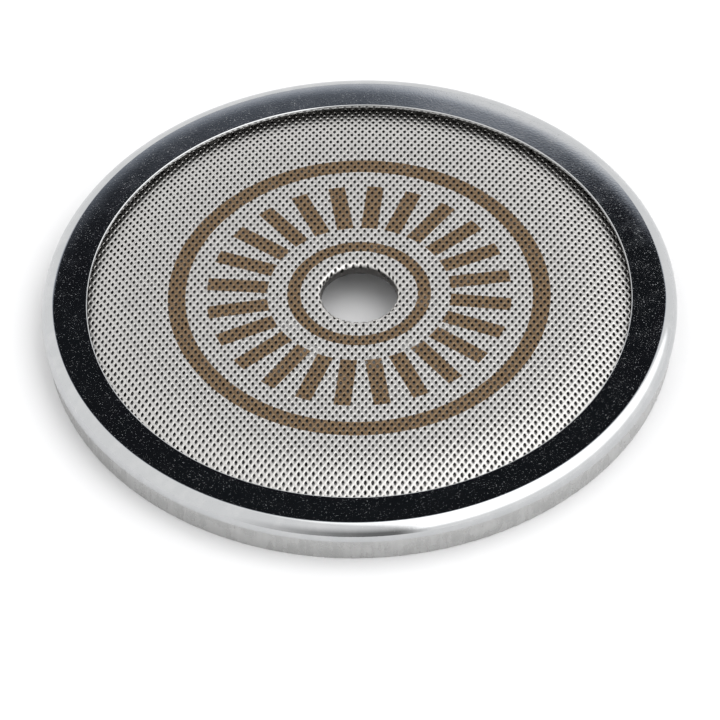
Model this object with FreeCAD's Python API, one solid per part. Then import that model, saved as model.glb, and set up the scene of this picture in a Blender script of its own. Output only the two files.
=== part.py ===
"""Shower screen of an espresso machine's group head: a fine sieve over a coarse one.

Three pressed stainless steel pieces make it up:

  backing_plate  the coarse sieve: a shallow pan of sheet with a crowned, perforated face
                 and a plain drawn wall
  fine_sieve     the fine sieve: a disc of micro-mesh that lies on the pan's face, and is
                 turned down into the screw hole
  clamp_ring     a polished ring that is pressed over the pan's shoulder and traps the
                 sieve's border

Frame: millimetres, +Z up, origin on the axis in the plane of the pan's lower edge. The
screen lies as it does on a table, with the sieve side up. In the machine it hangs the
other way up, under the group, on one screw through its middle.
"""

import FreeCAD
import Part
import math
import os

V = FreeCAD.Vector
os.makedirs("parts", exist_ok=True)

# ---- driving dimensions ---------------------------------------------------------------

# whole screen
overall_r = 28.75          # outside of the clamp ring
flange_top = 3.9           # height of the polished face over the pan's lower edge
hole_r = 3.45              # clear radius for the fixing screw

# clamp ring
ring_sheet = 0.35
ring_band = 4.15           # from the window's edge to the outside
ring_bend = 1.25           # outside radius of the bend between face and skirt
ring_depth = 1.3           # from the face down to the skirt's lower edge
ring_edge = 0.1            # rounding of the window's edge

# fine sieve
sieve_sheet = 0.25
sieve_border_gap = 0.05    # from the sieve's cut edge to where the ring starts to bend
crown_proud = 0.207        # apex of the crown over the ring's face
crown_radius = 658.0
knuckle_in = 6.1           # from the window's edge inward to where the crown starts to fall
knuckle_radius = 26.0
fall_angle = 11.5          # degrees
valley_out = 0.55          # from the window's edge outward to the bottom of the groove
valley_radius = 1.2
rise_angle = 35.0          # degrees
brow_radius = 1.3
hole_bend = 0.1            # inside radius where the sieve turns down into the screw hole
lip_depth = 1.0            # from the crown's apex down to the end of the turned lip

# backing plate
plate_sheet = 0.5
plate_bend = 0.1           # inside radius of the bend between face and wall
plate_edge = 0.12          # rounding of the wall's lower edge
holes_r = 1.1
holes_pitch = 4.0          # square pattern
holes_turn = 30.3          # degrees from +X
holes_shift = (0.48, 0.8)  # the pattern isn't centred on the axis
holes_past_window = 0.9    # how far a hole may reach under the clamp ring
holes_bore_gap = 0.7       # least distance from a hole's edge to the screw hole's

# clearances
sieve_play = 0.02          # between the sieve and the plate under it
press_play = 0.02          # between the ring's skirt and the pan's wall

# ---- what follows from them -----------------------------------------------------------

window_r = overall_r - ring_band
flange_under = flange_top - ring_sheet
bend_r = overall_r - ring_bend              # where the ring's flat face ends
sieve_r = bend_r - sieve_border_gap
crown_top = flange_top + crown_proud
lip_end = crown_top - lip_depth
plate_depth = sieve_sheet + sieve_play      # the plate's upper face, under the sieve's
plate_under = plate_depth + plate_sheet
wall_r = overall_r - ring_sheet - press_play
shoulder_r = plate_bend + plate_sheet       # outside radius of the pan's bend
plate_bore = hole_r + plate_depth
turn_r = hole_bend + sieve_sheet            # outside radius of the sieve's turn-down


def at(r, z):
    return V(r, 0, z)


def arc(centre, radius, start, end):
    """Part of a circle in the XZ plane. Its angles, in degrees, are measured from +X."""
    points = []
    for turn in (start, (start + end) / 2, end):
        t = math.radians(turn)
        points.append(centre + at(radius * math.cos(t), radius * math.sin(t)))
    return Part.Arc(*points).toShape()


def chain(edges):
    """Joins edges, in order, by straight lines where they don't meet, and closes them."""
    loop = []
    for edge, following in zip(edges, edges[1:] + edges[:1]):
        loop.append(edge)
        gap_start = edge.lastVertex(True).Point
        gap_end = following.firstVertex(True).Point
        if gap_start.distanceToPoint(gap_end) > 1e-6:
            loop.append(Part.makeLine(gap_start, gap_end))
    return Part.Wire(loop)


def turned(edges):
    """The solid that a closed section makes when it is turned about Z."""
    return Part.Face(chain(edges)).revolve(V(0, 0, 0), V(0, 0, 1), 360)


def backwards(edges):
    """The same run of arcs and lines from its other end."""
    flipped = []
    for edge in reversed(edges):
        curve = edge.Curve.copy()
        first, last = edge.FirstParameter, edge.LastParameter
        middle = edge.valueAt((first + last) / 2)
        ends = (edge.valueAt(last), edge.valueAt(first))
        if isinstance(curve, Part.Circle):
            flipped.append(Part.Arc(ends[0], middle, ends[1]).toShape())
        else:
            flipped.append(Part.makeLine(*ends))
    return flipped


# ---- the pressed shape that the sieve and the plate share --------------------------------

crown_centre = at(0, crown_top - crown_radius)
knuckle_at = math.degrees(math.asin((window_r - knuckle_in) / crown_radius))
turn_at = math.degrees(math.asin((hole_r + turn_r) / (crown_radius - turn_r)))


def on_circle(centre, radius, lean):
    """The point of a circle that lies lean degrees from straight up, towards +X."""
    t = math.radians(lean)
    return centre + at(radius * math.sin(t), radius * math.cos(t))


turn_centre = on_circle(crown_centre, crown_radius - turn_r, turn_at)
knuckle_centre = on_circle(crown_centre, crown_radius - knuckle_radius, knuckle_at)
knuckle_end = on_circle(knuckle_centre, knuckle_radius, fall_angle)
valley_start_r = window_r + valley_out - valley_radius * math.sin(math.radians(fall_angle))
valley_start_z = knuckle_end.z - (valley_start_r - knuckle_end.x) * math.tan(
    math.radians(fall_angle)
)
valley_centre = at(
    window_r + valley_out,
    valley_start_z + valley_radius * math.cos(math.radians(fall_angle)),
)
valley_end = on_circle(valley_centre, valley_radius, 180 - rise_angle)
brow_start_z = flange_under - brow_radius * (1 - math.cos(math.radians(rise_angle)))
brow_start_r = valley_end.x + (brow_start_z - valley_end.z) / math.tan(
    math.radians(rise_angle)
)
brow_centre = at(
    brow_start_r + brow_radius * math.sin(math.radians(rise_angle)),
    flange_under - brow_radius,
)


def pressed(depth):
    """Arcs from the crown to the border, a given depth under the sieve's upper face."""
    return [
        arc(crown_centre, crown_radius - depth, 90 - turn_at, 90 - knuckle_at),
        arc(knuckle_centre, knuckle_radius - depth, 90 - knuckle_at, 90 - fall_angle),
        arc(valley_centre, valley_radius + depth, 270 - fall_angle, 270 + rise_angle),
        arc(brow_centre, brow_radius - depth, 90 + rise_angle, 90),
    ]


def into_hole(depth):
    """The bend from the screw hole's side up to the crown."""
    return arc(turn_centre, turn_r - depth, 180, 90 - turn_at)


# ---- the three pieces --------------------------------------------------------------------


def make_fine_sieve():
    """A plain disc of the micro-mesh's outer shape. Its openings aren't cut."""
    border = Part.makeLine(
        at(sieve_r, flange_under),
        at(sieve_r, flange_under - sieve_sheet),
    )
    lip = Part.makeLine(at(hole_r + sieve_sheet, lip_end), at(hole_r, lip_end))
    upper = [into_hole(0)] + pressed(0)
    lower = [into_hole(sieve_sheet)] + pressed(sieve_sheet)
    return turned(upper + [border] + backwards(lower) + [lip])


def make_plate_blank():
    """The pan before it is perforated."""
    face_z = flange_under - plate_depth
    shoulder = at(wall_r - shoulder_r, face_z - shoulder_r)
    inner_r = wall_r - plate_sheet
    upper = [into_hole(plate_depth)] + pressed(plate_depth)
    wall = [
        arc(shoulder, shoulder_r, 90, 0),
        arc(at(wall_r - plate_edge, plate_edge), plate_edge, 0, -90),
        arc(at(inner_r + plate_edge, plate_edge), plate_edge, 270, 180),
        arc(shoulder, plate_bend, 0, 90),
    ]
    under_lean = math.asin(plate_bore / (crown_radius - plate_under))
    under = pressed(plate_under)
    under[0] = arc(
        crown_centre,
        crown_radius - plate_under,
        90 - math.degrees(under_lean),
        90 - knuckle_at,
    )
    return turned(upper + wall + backwards(under))


def hole_places():
    """Centres of the coarse perforation: a square pattern over the pressed face."""
    nearest = plate_bore + holes_bore_gap + holes_r
    farthest = window_r + holes_past_window - holes_r
    reach = int(2 * overall_r / holes_pitch)
    turn = math.radians(holes_turn)
    places = []
    for i in range(-reach, reach + 1):
        for j in range(-reach, reach + 1):
            along = i * holes_pitch
            across = j * holes_pitch
            x = holes_shift[0] + along * math.cos(turn) - across * math.sin(turn)
            y = holes_shift[1] + along * math.sin(turn) + across * math.cos(turn)
            if nearest <= math.hypot(x, y) <= farthest:
                places.append((x, y))
    return places


def make_backing_plate():
    punches = []
    for x, y in hole_places():
        punches.append(Part.makeCylinder(holes_r, crown_top, V(x, y, 0)))
    return make_plate_blank().cut(Part.makeCompound(punches))


def make_clamp_ring():
    """Face, bend and short skirt of one sheet, with the window's edges rounded."""
    bend = at(bend_r, flange_top - ring_bend)
    skirt_end = flange_top - ring_depth
    edge_r = window_r + ring_edge
    return turned([
        arc(at(edge_r, flange_under + ring_edge), ring_edge, 270, 180),
        arc(at(edge_r, flange_top - ring_edge), ring_edge, 180, 90),
        arc(bend, ring_bend, 90, 0),
        Part.makeLine(at(overall_r, skirt_end), at(overall_r - ring_sheet, skirt_end)),
        arc(bend, ring_bend - ring_sheet, 0, 90),
    ])


pieces = {
    "backing_plate": make_backing_plate(),
    "fine_sieve": make_fine_sieve(),
    "clamp_ring": make_clamp_ring(),
}

for name, shape in pieces.items():
    solid = shape.Solids[0]
    solid.exportStep(os.path.join("parts", name + ".step"))
    print(name, "valid", solid.isValid(), "solids", len(shape.Solids), "mm3", round(solid.Volume, 1))
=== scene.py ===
import math

import bpy
import numpy as np
from mathutils import Matrix, Vector


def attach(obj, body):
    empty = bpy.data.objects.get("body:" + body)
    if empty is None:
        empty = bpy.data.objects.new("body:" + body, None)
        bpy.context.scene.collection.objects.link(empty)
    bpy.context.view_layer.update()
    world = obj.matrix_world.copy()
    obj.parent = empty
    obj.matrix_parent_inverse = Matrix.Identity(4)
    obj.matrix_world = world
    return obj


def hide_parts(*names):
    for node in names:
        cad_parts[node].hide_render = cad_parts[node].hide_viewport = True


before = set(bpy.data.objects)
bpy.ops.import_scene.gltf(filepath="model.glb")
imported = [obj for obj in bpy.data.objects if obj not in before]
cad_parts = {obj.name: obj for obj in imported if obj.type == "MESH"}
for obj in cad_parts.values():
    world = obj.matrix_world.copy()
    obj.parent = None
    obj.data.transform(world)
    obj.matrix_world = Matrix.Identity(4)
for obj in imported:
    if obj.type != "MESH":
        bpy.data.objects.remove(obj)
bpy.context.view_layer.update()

mm = 0.001

# ---- Studio: a white table inside a light tent ---------------------------------------------
# The camera stands a good half metre off, with a long lens, and looks down at 46 degrees. The
# steel mirrors the tent, one large soft box over its right half and a dark gap in its roof.

camera_distance = 510.1 * mm
camera_elevation = math.radians(46.19)
camera_roll = math.radians(-1.616)
camera_aim = Vector((-0.085, -4.457, 0.0)) * mm
camera_lens = 280.66

camera = bpy.data.objects.new("camera", bpy.data.cameras.new("camera"))
bpy.context.collection.objects.link(camera)
camera.location = camera_distance * Vector(
    (0.0, -math.cos(camera_elevation), math.sin(camera_elevation))
)
camera.data.lens = camera_lens
camera.data.sensor_width = 36.0
camera.data.clip_start = 0.01
camera.data.clip_end = 20.0
towards = camera_aim - camera.location
level = towards.to_track_quat("-Z", "Y").to_matrix()
camera.rotation_euler = (level @ Matrix.Rotation(camera_roll, 3, "Z")).to_euler()
bpy.context.scene.camera = camera
bpy.context.scene.view_settings.view_transform = "Standard"


class Wire:
    """An output of a shader node. Sums with it add Math nodes to its tree."""

    def __init__(self, tree, socket=None):
        self.tree = tree
        self.socket = socket

    def node(self, kind, settings=None, inputs=None, output=0):
        """Adds a node: its settings first, then a value or a wire for each input."""
        made = self.tree.nodes.new("ShaderNode" + kind)
        for name, value in (settings or {}).items():
            setattr(made, name, value)
        for name, value in (inputs or {}).items():
            if isinstance(value, Wire):
                self.tree.links.new(value.socket, made.inputs[name])
            else:
                made.inputs[name].default_value = value
        return Wire(self.tree, made.outputs[output] if made.outputs else None)

    def math(self, operation, *others):
        """A Math node with this wire as its first value."""
        return self.node("Math", {"operation": operation}, dict(enumerate((self, *others))))

    def __add__(self, other):
        return self.math("ADD", other)

    def __sub__(self, other):
        return self.math("SUBTRACT", other)

    def __rsub__(self, other):
        return self.node("Math", {"operation": "SUBTRACT"}, {0: other, 1: self})

    def __mul__(self, other):
        return self.math("MULTIPLY", other)

    def __truediv__(self, other):
        return self.math("DIVIDE", other)

    __radd__ = __add__
    __rmul__ = __mul__

    def between(self, low, high):
        """0 below low, 1 above high, and smooth in between."""
        settings = {"interpolation_type": "SMOOTHSTEP"}
        return self.node("MapRange", settings, {0: self, 1: low, 2: high, 3: 0.0, 4: 1.0})

    def mix(self, first, second):
        """One colour where this is 0 and another where it is 1."""
        made = self.tree.nodes.new("ShaderNodeMix")
        made.data_type = "RGBA"
        self.tree.links.new(self.socket, made.inputs[0])
        for socket, value in ((made.inputs[6], first), (made.inputs[7], second)):
            if isinstance(value, Wire):
                self.tree.links.new(value.socket, socket)
            else:
                socket.default_value = (*value, 1.0)
        return Wire(self.tree, made.outputs[2])

    def parts(self):
        """The X, Y and Z of a vector."""
        made = self.tree.nodes.new("ShaderNodeSeparateXYZ")
        self.tree.links.new(self.socket, made.inputs[0])
        return [Wire(self.tree, made.outputs[axis]) for axis in "XYZ"]


def new_material(name):
    """An empty material, and a wire to start its tree from."""
    material = bpy.data.materials.new(name)
    material.use_nodes = True
    material.node_tree.nodes.clear()
    return material, Wire(material.node_tree)


def finish_surface(start, shader):
    """Ends a material's tree with its shader."""
    start.node("OutputMaterial", None, {"Surface": shader})


table_finish, wire = new_material("white_table")
finish_surface(
    wire,
    wire.node("BsdfPrincipled", None, {"Base Color": (0.8, 0.8, 0.805, 1.0), "Roughness": 0.7}),
)
mesh = bpy.data.meshes.new("table")
mesh.from_pydata([(-3, -3, 0), (3, -3, 0), (3, 3, 0), (-3, 3, 0)], [], [(0, 1, 2, 3)])
mesh.materials.append(table_finish)
table = bpy.data.objects.new("table", mesh)
bpy.context.collection.objects.link(table)

# light from each direction, as the steel sees it; right and away are where a ray meets a
# level ceiling, in heights over the table
tent = 1.2
tent_opening = 0.014
soft_box = 2.3
soft_box_foot = 1.3
camera_side = 0.24

room = bpy.data.worlds.new("studio")
bpy.context.scene.world = room
room.use_nodes = True
room.node_tree.nodes.clear()
wire = Wire(room.node_tree)
x, y, z = wire.node("TexCoord", None, None, "Generated").parts()
up = z.math("MAXIMUM", 0.04)
right = x / up
away = y / up
boxed = (
    (right + 0.25 * away).between(-0.05, 0.12)
    * (1 - (away - 0.45 * right).between(0.45, 0.62))
)
box_light = soft_box_foot + (soft_box - soft_box_foot) * z.between(0.3, 0.6)
light = tent + boxed * (box_light - tent)
near = 0 - y
sideways = x / near.math("MAXIMUM", 0.04)
dim_side = (
    sideways.between(-1.0, 0.1)
    * (1 - sideways.between(0.15, 0.4))
    * near.between(0.0, 0.05)
)
light = light + dim_side * ((z * z * tent).math("MAXIMUM", camera_side) - light)
soft_edge = away.between(0.99, 1.22)
far_edge = soft_edge + right.between(0.0, 0.05) * (away.between(1.0, 1.075) - soft_edge)
opening = (
    away.between(0.58, 0.68)
    * (1 - far_edge)
    * (1 - (right.math("ABSOLUTE") - 0.9 * away).between(-0.56, -0.40))
    * y.between(0.0, 0.05)
)
light = light + opening * (tent_opening - light)
tint = opening.mix((1.0, 1.0, 1.0), (0.85, 0.95, 1.15))
sky = wire.node("Background", None, {"Color": tint, "Strength": light})
wire.node("OutputWorld", None, {"Surface": sky})

# ---- Backing plate: the coarse sieve ------------------------------------------------------
# A pan of half-millimetre stainless sheet, drawn in one hit and then perforated. The wall is
# bright, with draw marks that run up it; the face keeps the grain of the rolled sheet, and it
# is painted dark as painted shade for the space under the screen.

plate_steel, wire = new_material("drawn_steel")
place = wire.node("TexCoord", None, None, "Object")
x, y, z = place.parts()
bearing = y.math("ARCTAN2", x)
radius = (x * x + y * y).math("SQRT")
on_wall = radius.between(27.6 * mm, 28.0 * mm)
round_wall = wire.node("CombineXYZ", None, {"X": bearing * 28.0, "Y": z * 90.0, "Z": 0.0})
draw_marks = wire.node("TexNoise", None, {"Vector": round_wall, "Scale": 2.2, "Detail": 5.0})
rolled = wire.node("Mapping", None, {"Vector": place, "Scale": (120.0, 2600.0, 400.0)})
grain = wire.node("TexNoise", None, {"Vector": rolled, "Scale": 1.0, "Detail": 4.0})
blotches = wire.node("TexNoise", None, {"Vector": place, "Scale": 620.0, "Detail": 4.0})
marks = on_wall * draw_marks + (1.0 - on_wall) * grain
shade = (marks * 0.4 + blotches * 0.6).between(0.35, 0.65)
drawn = shade.mix((0.43, 0.43, 0.425), (0.52, 0.52, 0.515))
# painted shade: the pan's face and underside, inside the wall, are painted dark grey so the space
# under the screen and the screw hole stay dark
rolled_grain_painted_shade = shade.mix((0.17, 0.17, 0.175), (0.22, 0.22, 0.22))
plate_shader = wire.node(
    "BsdfPrincipled",
    None,
    {
        "Metallic": 1.0,
        "Base Color": on_wall.mix(rolled_grain_painted_shade, drawn),
        "Roughness": 0.40 - on_wall * 0.17 + shade * 0.10,
        "Normal": wire.node(
            "Bump", None, {"Strength": 0.25, "Distance": 0.02 * mm, "Height": marks}
        ),
    },
)
finish_surface(wire, plate_shader)

for slot in bpy.data.objects["backing_plate"].material_slots:
    slot.material = plate_steel

# ---- Fine sieve: expanded micro-mesh --------------------------------------------------------
# A quarter-millimetre sheet, slit and stretched to staggered lens-shaped openings, then
# pressed over the pan's crown. It is turned down into the screw hole, where it is painted
# near-black as painted shade and made rougher, and its edge is left raw.

row_pitch = 0.6525 * mm         # from opening to opening along a row
row_gap = 0.4992 * mm           # from row to row
rows_turn = math.radians(-1.715)
rows_start = (15.264 * mm, 5.019 * mm)      # the centre of one opening
sieve_sheet = 0.235 * mm
opening_half = (0.120 * mm, 0.200 * mm)     # half the width and length at the throat
strand_sag = 0.003 * mm                     # strands lie this much lower than the bonds
rim_rings = (                   # size against the throat, depth and shift, in mm
    (1.42, 0.0, -0.030),
    (1.18, 0.030, -0.018),
    (1.0, 0.110, 0.0),
)

sieve_edge = 27.2 * mm
open_as_far_as = 25.5 * mm      # past this the ring hides the mesh, which is pressed flat

# the pressed shape, as in the pan: crown, knuckle, fall, groove, rise, brow, border
crown_top = 4.107 * mm
crown_radius = 658.0 * mm
hole_radius = 3.45 * mm
hole_bend = 0.35 * mm
knuckle_start = 18.5 * mm
knuckle_radius = 26.0 * mm
fall = math.radians(11.5)
valley_at = 25.15 * mm
valley_radius = 1.2 * mm
rise = math.radians(35.0)
brow_radius = 1.3 * mm
border_height = 3.55 * mm
lip_length = 0.638 * mm
lip_stretch = 1.25              # how much the mesh draws out as it goes into the hole
trim = 0.12 * mm                # a cell that sticks out less than this is dressed flush

crown_centre = crown_top - crown_radius
knuckle_turn = math.asin(knuckle_start / crown_radius)
knuckle_x = (crown_radius - knuckle_radius) * math.sin(knuckle_turn)
knuckle_z = crown_centre + (crown_radius - knuckle_radius) * math.cos(knuckle_turn)
fall_x = knuckle_x + knuckle_radius * math.sin(fall)
fall_z = knuckle_z + knuckle_radius * math.cos(fall)
valley_start = valley_at - valley_radius * math.sin(fall)
valley_z = fall_z - (valley_start - fall_x) * math.tan(fall) + valley_radius * math.cos(fall)
rise_x = valley_at + valley_radius * math.sin(rise)
rise_z = valley_z - valley_radius * math.cos(rise)
brow_z = border_height - brow_radius
brow_start_z = brow_z + brow_radius * math.cos(rise)
brow_start = rise_x + (brow_start_z - rise_z) / math.tan(rise)
brow_x = brow_start + brow_radius * math.sin(rise)
bend_turn = math.asin((hole_radius + hole_bend) / (crown_radius - hole_bend))
bend_z = crown_centre + (crown_radius - hole_bend) * math.cos(bend_turn)
bend_x = hole_radius + hole_bend
bend_start = crown_radius * math.sin(bend_turn)
bend_length = hole_bend * (math.pi / 2 + bend_turn)


def pressed_place(flat):
    """Radius, height and lean of the sieve's upper face where a point of the flat sheet goes."""
    lean = np.select(
        [flat < knuckle_start, flat < fall_x, flat < valley_start, flat < rise_x, flat < brow_start,
         flat < brow_x],
        [np.arcsin(np.clip(flat / crown_radius, -1, 1)),
         np.arcsin(np.clip((flat - knuckle_x) / knuckle_radius, -1, 1)),
         np.full_like(flat, fall),
         -np.arcsin(np.clip((flat - valley_at) / valley_radius, -1, 1)),
         np.full_like(flat, -rise),
         np.arcsin(np.clip((flat - brow_x) / brow_radius, -1, 1))],
        0.0,
    )
    height = np.select(
        [flat < knuckle_start, flat < fall_x, flat < valley_start, flat < rise_x, flat < brow_start,
         flat < brow_x],
        [crown_centre + crown_radius * np.cos(lean),
         knuckle_z + knuckle_radius * np.cos(lean),
         fall_z - (flat - fall_x) * math.tan(fall),
         valley_z - valley_radius * np.cos(lean),
         rise_z + (flat - rise_x) * math.tan(rise),
         brow_z + brow_radius * np.cos(lean)],
        border_height,
    )
    drawn_in = np.maximum(bend_start - flat, 0.0) * lip_stretch
    turn = np.minimum(drawn_in, bend_length) / hole_bend - bend_turn
    down = np.clip(drawn_in - bend_length, 0.0, lip_length)
    inside = drawn_in > 0
    radius = np.where(inside, bend_x - hole_bend * np.sin(turn), flat)
    height = np.where(inside, bend_z + hole_bend * np.cos(turn) - down, height)
    lean = np.where(inside, -turn, lean)
    return radius, height, lean


def press(points, depth):
    """Puts points of the flat sheet on the pressed face, a depth under its upper side."""
    flat = np.hypot(points[:, 0], points[:, 1])
    radius, height, lean = pressed_place(flat)
    radius = radius - depth * np.sin(lean)
    height = height - depth * np.cos(lean)
    return np.column_stack([points * (radius / flat)[:, None], height])


# Around each opening the sheet is a lozenge: its corners are the bonds, and halfway between
# them are the strands. Places on it are whole numbers of quarter pitches and half rows.
lozenge = np.array([(2, 0), (1, 1), (0, 2), (-1, 1), (-2, 0), (-1, -1), (0, -2), (1, -1)])
quarter = np.array([row_pitch / 4, row_gap / 2])
turn_rows = np.array(
    [[math.cos(rows_turn), math.sin(rows_turn)], [-math.sin(rows_turn), math.cos(rows_turn)]]
)


def on_sheet(steps):
    """Flat place of points given in quarter pitches and half rows."""
    return (np.asarray(steps) * quarter) @ turn_rows + np.array(rows_start)


reach = 120
cells = []
for row in range(-reach, reach + 1):
    for opening in range(-reach, reach + 1):
        cells.append((4 * opening + 2 * (row % 2), 2 * row))
cells = np.array(cells)
corner_radius = np.hypot(*on_sheet(cells[:, None, :] + lozenge[None]).transpose(2, 0, 1))
inner_flat = bend_start - (bend_length + lip_length) / lip_stretch
inside_sheet = (corner_radius.max(1) < sieve_edge) & (corner_radius.max(1) > inner_flat + trim)
cells = cells[inside_sheet]
corner_radius = corner_radius[inside_sheet]
pierced = (corner_radius.max(1) < open_as_far_as) & (corner_radius.min(1) > inner_flat - trim)

keys, shared = np.unique(
    (cells[:, None, :] + lozenge[None]).reshape(-1, 2), axis=0, return_inverse=True
)
shared = shared.reshape(len(cells), 8)
edge_flat = on_sheet(keys)
edge_radius = np.hypot(*edge_flat.T)
edge_flat *= (np.maximum(edge_radius, inner_flat) / edge_radius)[:, None]
strand_point = (keys[:, 0] % 2) == 1
sag = np.where(strand_point, strand_sag, 0.0)
count = len(keys)
top = press(edge_flat, sag)
bottom = press(edge_flat, sieve_sheet - sag)

angles = np.arctan2(lozenge[:, 1] * quarter[1], lozenge[:, 0] * quarter[0])
throat = np.column_stack([opening_half[0] * np.cos(angles), opening_half[1] * np.sin(angles)])
centres = on_sheet(cells[pierced])


ring_flats = []
rings = []
for size, depth, shift in rim_rings:
    outline = (throat * size + (0.0, shift * mm)) @ turn_rows
    flat = (centres[:, None, :] + outline[None]).reshape(-1, 2)
    ring_flats.append(flat)
    rings.append(press(flat, np.full(len(flat), depth * mm)))
points = np.vstack([top, bottom, *rings])

outer = shared[pierced]
holes = len(outer)
inner = np.arange(holes * 8).reshape(holes, 8) + 2 * count
after = np.roll(np.arange(8), -1)
levels = [outer, *(inner + step * holes * 8 for step in range(len(rings))), outer + count]
faces = []
sides = []                      # 0 for the upper side, 1 for the underside, 2 for a cut edge
for upper, lower in zip(levels, levels[1:]):
    quads = np.stack([upper, upper[:, after], lower[:, after], lower], axis=2)
    faces.append(quads.reshape(-1, 4))
    sides += [int(lower is levels[-1])] * len(faces[-1])

# the cut edges of the sheet, round the border and in the screw hole
runs = np.stack([shared, shared[:, after]], axis=2).reshape(-1, 2)
unordered = np.sort(runs, axis=1)
_, where, uses = np.unique(unordered, axis=0, return_inverse=True, return_counts=True)
raw = runs[uses[where.reshape(-1)] == 1]
faces.append(np.column_stack([raw[:, 0], raw[:, 0] + count, raw[:, 1] + count, raw[:, 1]]))
sides += [2] * len(raw)
faces = [tuple(face) for face in np.vstack(faces).tolist()]
for lozenge_points in shared[~pierced].tolist():
    faces.append(tuple(lozenge_points))
    faces.append(tuple(point + count for point in reversed(lozenge_points)))
    sides += [0, 1]

mesh = bpy.data.meshes.new("sieve_mesh")
mesh.from_pydata(points.tolist(), [], faces)
mesh.update()
mesh.shade_smooth()

# its map is the flat sheet: the upper side large, the underside small in a corner, and the
# cut edges laid out just beyond the sheet
corner_points = np.concatenate([np.array(face) for face in faces])
corner_sides = np.repeat(sides, [len(face) for face in faces])
flat = np.vstack([edge_flat, edge_flat, *ring_flats])[corner_points]
flat_radius = np.hypot(flat[:, 0], flat[:, 1])
beyond = np.where(flat_radius > sieve_edge / 2, 0.3 * mm, -0.3 * mm)
beyond[(corner_sides != 2) | (corner_points < count)] = 0.0
flat = flat * (1 + beyond / flat_radius)[:, None] / (28 * mm)
is_under = (corner_sides == 1)[:, None]
sheet_map = np.where(is_under, 0.845 + 0.15 * flat, 0.345 + 0.34 * flat)
mesh.uv_layers.new(name="OFBake").data.foreach_set("uv", sheet_map.ravel())
sieve = bpy.data.objects.new("sieve_mesh", mesh)
bpy.context.collection.objects.link(sieve)

# a plain ring dial, burnt brown into the mesh's upper side by a laser
tick_count = 24
tick_half = 0.76 * mm           # half a tick's width
ticks_from = 8.3 * mm
ticks_to = 13.8 * mm
small_circle = (5.3 * mm, 6.5 * mm)
large_circle = (15.7 * mm, 17.3 * mm)


def band(radius, inner, outer):
    """1 between two radii, with an edge as soft as the laser leaves."""
    soft = 0.03 * mm
    return radius.between(inner - soft, inner + soft) * (
        1 - radius.between(outer - soft, outer + soft)
    )


mesh_steel, wire = new_material("mesh_steel")
place = wire.node("TexCoord", None, None, "Object")
mottle = wire.node("TexNoise", None, {"Vector": place, "Scale": 2600.0, "Detail": 3.0})
tone = mottle.between(0.3, 0.7)
x, y, z = place.parts()
radius = (x * x + y * y).math("SQRT")
bearing = y.math("ARCTAN2", x)
tick_turn = (bearing * (tick_count / (2 * math.pi))).math("FRACT") - 0.5
tick_reach = tick_turn.math("ABSOLUTE") * radius * (2 * math.pi / tick_count)
circles = band(radius, *small_circle) + band(radius, *large_circle)
tick_edge = tick_reach.between(tick_half - 0.04 * mm, tick_half + 0.04 * mm)
ticks = band(radius, ticks_from, ticks_to) * (1 - tick_edge)
facing_up = wire.node("TexCoord", None, None, "Normal").parts()[2].between(-0.1, 0.3)
burnt = (circles + ticks).math("MINIMUM", 1.0) * facing_up
# painted shade: where the mesh turns down into the screw hole it is painted near-black, and it is
# also made rougher there
lip_painted_shade = (1 - radius.between(3.72 * mm, 3.9 * mm)) * (1 - z.between(3.78 * mm, 3.98 * mm))
bare = tone.mix((0.50, 0.49, 0.475), (0.555, 0.545, 0.527))
brown = tone.mix((0.185, 0.125, 0.075), (0.225, 0.157, 0.095))
marked_and_shaded = lip_painted_shade.mix(burnt.mix(bare, brown), (0.13, 0.125, 0.12))
sieve_shader = wire.node(
    "BsdfPrincipled",
    None,
    {
        "Metallic": 1.0,
        "Base Color": marked_and_shaded,
        "Roughness": 0.28 + tone * 0.08 + lip_painted_shade * 0.2,
    },
)
finish_surface(wire, sieve_shader)
mesh.materials.append(mesh_steel)
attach(sieve, "root")
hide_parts("fine_sieve")

# ---- Clamp ring: polished sheet ------------------------------------------------------------
# A ring of thin sheet, pressed over the pan's shoulder and polished on a wheel. Its face is
# close to a mirror, with the haze and fine specks that handling leaves.

ring_outer = 28.75 * mm
ring_window = 24.6 * mm
ring_top = 3.9 * mm
ring_sheet = 0.35 * mm
ring_bend = 1.25 * mm
ring_end = 2.6 * mm
ring_edge = 0.1 * mm
around = 512


def sweep(centre, radius, start, end, steps):
    """Places along an arc of the ring's section, its angles in degrees from +X."""
    turns = np.radians(np.linspace(start, end, steps + 1))
    return np.column_stack([centre[0] + radius * np.cos(turns), centre[1] + radius * np.sin(turns)])


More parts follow.
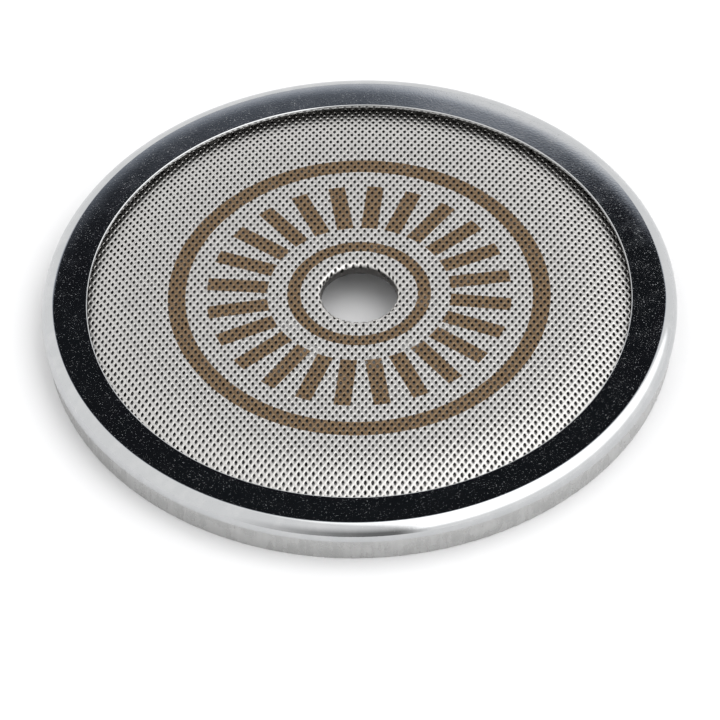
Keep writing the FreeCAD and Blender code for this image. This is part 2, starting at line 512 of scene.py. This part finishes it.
# the face falls away a little towards the bend, as polishing leaves it
fall_from = 25.8 * mm
fall_slope = math.radians(1.2)
bend_start = ring_outer - ring_bend
face = np.array([0.03, 0.4, 1.1, 1.4, 1.7, 2.0, 2.3, 2.6, 2.84]) * mm + ring_window + ring_edge
fallen = np.maximum(face - fall_from, 0.0) ** 3 * fall_slope / (3 * (bend_start - fall_from) ** 2)
face_drop = (bend_start - fall_from) * fall_slope / 3
bend_centre = (bend_start, ring_top - face_drop - ring_bend)
section = np.vstack([
    sweep((ring_window + ring_edge, ring_top - ring_sheet + ring_edge), ring_edge, 270, 180, 4),
    sweep((ring_window + ring_edge, ring_top - ring_edge), ring_edge, 180, 90, 5),
    np.column_stack([face, ring_top - fallen]),
    sweep(bend_centre, ring_bend, 90 - math.degrees(fall_slope), 0, 24),
    [(ring_outer, ring_end), (ring_outer - ring_sheet, ring_end)],
    sweep((bend_start, ring_top - ring_bend), ring_bend - ring_sheet, 0, 90, 12),
])
turns = np.linspace(0, 2 * math.pi, around, endpoint=False)
points = np.stack(
    [
        section[None, :, 0] * np.cos(turns)[:, None],
        section[None, :, 0] * np.sin(turns)[:, None],
        np.broadcast_to(section[None, :, 1], (around, len(section))),
    ],
    axis=2,
).reshape(-1, 3)
faces = []
for turn in range(around):
    here, there = turn * len(section), (turn + 1) % around * len(section)
    for step in range(len(section)):
        onward = (step + 1) % len(section)
        faces.append((here + onward, here + step, there + step, there + onward))
mesh = bpy.data.meshes.new("polished_ring")
mesh.from_pydata(points.tolist(), [], faces)
mesh.update()
mesh.shade_smooth()
mesh.set_sharp_from_angle(angle=math.radians(40))
polished_ring = bpy.data.objects.new("polished_ring", mesh)
bpy.context.collection.objects.link(polished_ring)

ring_steel, wire = new_material("polished_steel")
place = wire.node("TexCoord", None, None, "Object")
wiped = wire.node("TexNoise", None, {"Vector": place, "Scale": 700.0, "Detail": 5.0})
haze = wiped.between(0.4, 0.75)
rippled = {"Vector": place, "Scale": 5200.0, "Detail": 3.0, "Roughness": 0.6}
ripple = wire.node("TexNoise", None, rippled)
dust = wire.node("TexNoise", None, {"Vector": place, "Scale": 7500.0, "Detail": 2.0})
specks = dust.between(0.62, 0.70)
ring_shader = wire.node(
    "BsdfPrincipled",
    None,
    {
        "Metallic": 1.0,
        "Base Color": haze.mix((0.49, 0.498, 0.505), (0.53, 0.535, 0.54)),
        "Roughness": 0.035 + haze * 0.03 + specks * 0.18,
        "Normal": wire.node(
            "Bump", None, {"Strength": 1.0, "Distance": 0.0009 * mm, "Height": ripple}
        ),
    },
)
finish_surface(wire, ring_shader)
mesh.materials.append(ring_steel)
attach(polished_ring, "root")
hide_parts("clamp_ring")
